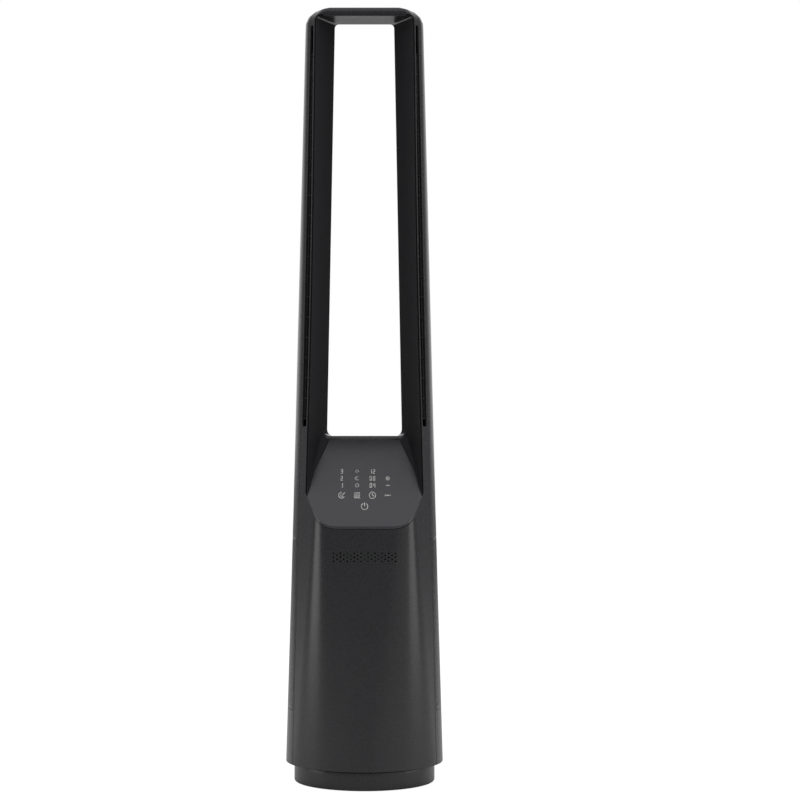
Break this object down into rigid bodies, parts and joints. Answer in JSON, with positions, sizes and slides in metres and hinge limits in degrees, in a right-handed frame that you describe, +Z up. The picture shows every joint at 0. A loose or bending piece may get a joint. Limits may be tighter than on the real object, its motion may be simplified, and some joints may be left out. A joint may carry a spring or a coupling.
{
  "type": "bladeless fan",
  "caption": "Tall bladeless fan: round foot, oscillating tapered body with perforated air intake and sloped touch panel, and a long loop that blows air from slots in its legs.",
  "frame": {"origin": "on the floor, at the middle of the foot, where the body's turning axis meets it", "axes": "+Z up along the turning axis, -Y towards the front with the panel and outlet slots, +X to the right of someone facing the front"},
  "size_m": [0.1946, 0.194, 0.96],
  "materials": {
    "dark_shell": "satin injection-moulded plastic, charcoal black",
    "panel_gloss": "smooth glossy panel with printed symbols",
    "black_plastic": "moulded black plastic",
    "inner_plastic": "moulded dark grey plastic, unpainted",
    "white_plastic": "self-lubricating white plastic",
    "impeller_plastic": "glass-filled grey plastic",
    "circuit_board": "fibreglass board with green solder mask",
    "steel": "plain turned or pressed steel",
    "rubber": "moulded rubber"
  },
  "bodies": {
    "base": {"foot_front_left": "rubber", "foot_front_right": "rubber", "foot_rear_right": "rubber", "foot_rear_left": "rubber", "base_plate": "black_plastic", "base_housing": "dark_shell", "counterweight": "steel", "oscillation_motor": "steel", "pivot_spindle": "steel", "spindle_nut": "steel", "glide_ring": "white_plastic", "power_inlet": "black_plastic"},
    "pinion": {"drive_pinion": "white_plastic"},
    "body": {"rubber_mount_1": "rubber", "rubber_mount_2": "rubber", "rubber_mount_3": "rubber", "turntable": "black_plastic", "outlet_comb_right": "black_plastic", "outlet_comb_left": "black_plastic", "front_shell": "dark_shell", "loop_lining": "dark_shell", "rear_shell": "dark_shell", "intake_grille": "dark_shell", "motor_stator": "steel", "bearing_lower": "steel", "bearing_upper": "steel", "ring_gear": "white_plastic", "pivot_bushing": "white_plastic", "control_panel": "panel_gloss", "touch_board": "circuit_board", "sensor_board": "circuit_board", "main_board": "circuit_board", "board_tray": "inner_plastic", "plenum_floor": "inner_plastic", "fan_housing": "inner_plastic", "inlet_bell": "inner_plastic", "stator_vanes": "inner_plastic"},
    "spinner": {"impeller": "impeller_plastic", "impeller_nut": "steel", "motor_rotor": "steel"}
  },
  "joints": [
    {"name": "oscillation", "type": "hinge", "parent": "base", "child": "body", "pos_m": [0, 0, 0.0255], "axis": [0, 0, 1], "range_deg": [-45, 45]},
    {"name": "pinion_spin", "type": "hinge", "parent": "base", "child": "pinion", "pos_m": [0, -0.03, 0.0339], "axis": [0, 0, 1], "range_deg": [-136, 136]},
    {"name": "impeller_spin", "type": "hinge", "parent": "body", "child": "spinner", "pos_m": [0, 0, 0.135], "axis": [0, 0, 1], "continuous": true}
  ],
  "couplings": [
    {"joint": "pinion_spin", "follows": "oscillation", "ratio": 3}
  ]
}
